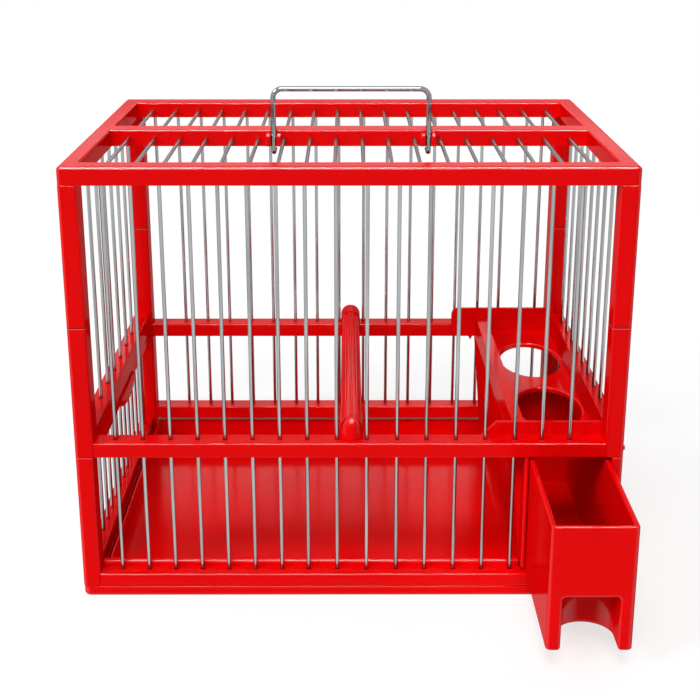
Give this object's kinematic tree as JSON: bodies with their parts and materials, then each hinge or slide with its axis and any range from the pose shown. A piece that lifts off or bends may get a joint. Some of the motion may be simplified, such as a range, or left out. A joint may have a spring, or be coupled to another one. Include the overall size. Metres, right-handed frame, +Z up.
{
  "type": "songbird cage",
  "caption": "Moulded bird cage with wire walls and roof, a pull-out feed drawer under a guard with feed holes, a slide-out dropping tray, a drop-down side door, a perch and a carry handle.",
  "frame": {"origin": "under the middle of the base, on the plane the cage stands on", "axes": "+X to the right seen from the front, +Y to the back, +Z up; the feed drawer pulls out towards -Y"},
  "size_m": [0.301, 0.3225, 0.2707],
  "materials": {
    "red_plastic": "glossy moulded red plastic",
    "wire": "satin galvanised wire",
    "handle_wire": "bright drawn wire"
  },
  "bodies": {
    "cage": {"back_lower_rail": "red_plastic", "back_mid_rail": "red_plastic", "back_wires": "wire", "base_pan": "red_plastic", "feeder_guard": "red_plastic", "front_lower_rail": "red_plastic", "front_mid_rail": "red_plastic", "front_short_wires": "wire", "front_wires": "wire", "left_lower_rail": "red_plastic", "left_mid_rail": "red_plastic", "left_wires": "wire", "lower_post_back_left": "red_plastic", "lower_post_back_right": "red_plastic", "lower_post_front_left": "red_plastic", "lower_post_front_right": "red_plastic", "perch_cap_back": "red_plastic", "perch_cap_front": "red_plastic", "perch_rod": "red_plastic", "right_lower_rail": "red_plastic", "right_mid_rail": "red_plastic", "right_wires": "wire", "roof_wires": "wire", "top_frame_front": "red_plastic", "top_frame_rear": "red_plastic", "top_post_back_left": "red_plastic", "top_post_back_right": "red_plastic", "top_post_front_left": "red_plastic", "top_post_front_right": "red_plastic", "upper_post_back_left": "red_plastic", "upper_post_back_right": "red_plastic", "upper_post_front_left": "red_plastic", "upper_post_front_right": "red_plastic"},
    "feed_drawer": {"feed_drawer": "red_plastic"},
    "dropping_tray": {"dropping_tray": "red_plastic"},
    "carry_handle": {"carry_handle": "handle_wire"},
    "side_door": {"door_bottom_bar": "red_plastic", "door_top_bar": "red_plastic", "door_wires": "wire"}
  },
  "joints": [
    {"name": "drawer_slide", "type": "slide", "parent": "cage", "child": "feed_drawer", "axis": [0, 1, 0], "range_m": [-0.1, 0.0825]},
    {"name": "tray_slide", "type": "slide", "parent": "cage", "child": "dropping_tray", "axis": [0, 1, 0], "range_m": [0, 0.19]},
    {"name": "handle_slide", "type": "slide", "parent": "cage", "child": "carry_handle", "axis": [0, 0, 1], "range_m": [-0.018, 0.0013]},
    {"name": "door_hinge", "type": "hinge", "parent": "cage", "child": "side_door", "pos_m": [-0.145, 0, 0.0175], "axis": [0, -1, 0], "range_deg": [0, 95]}
  ]
}
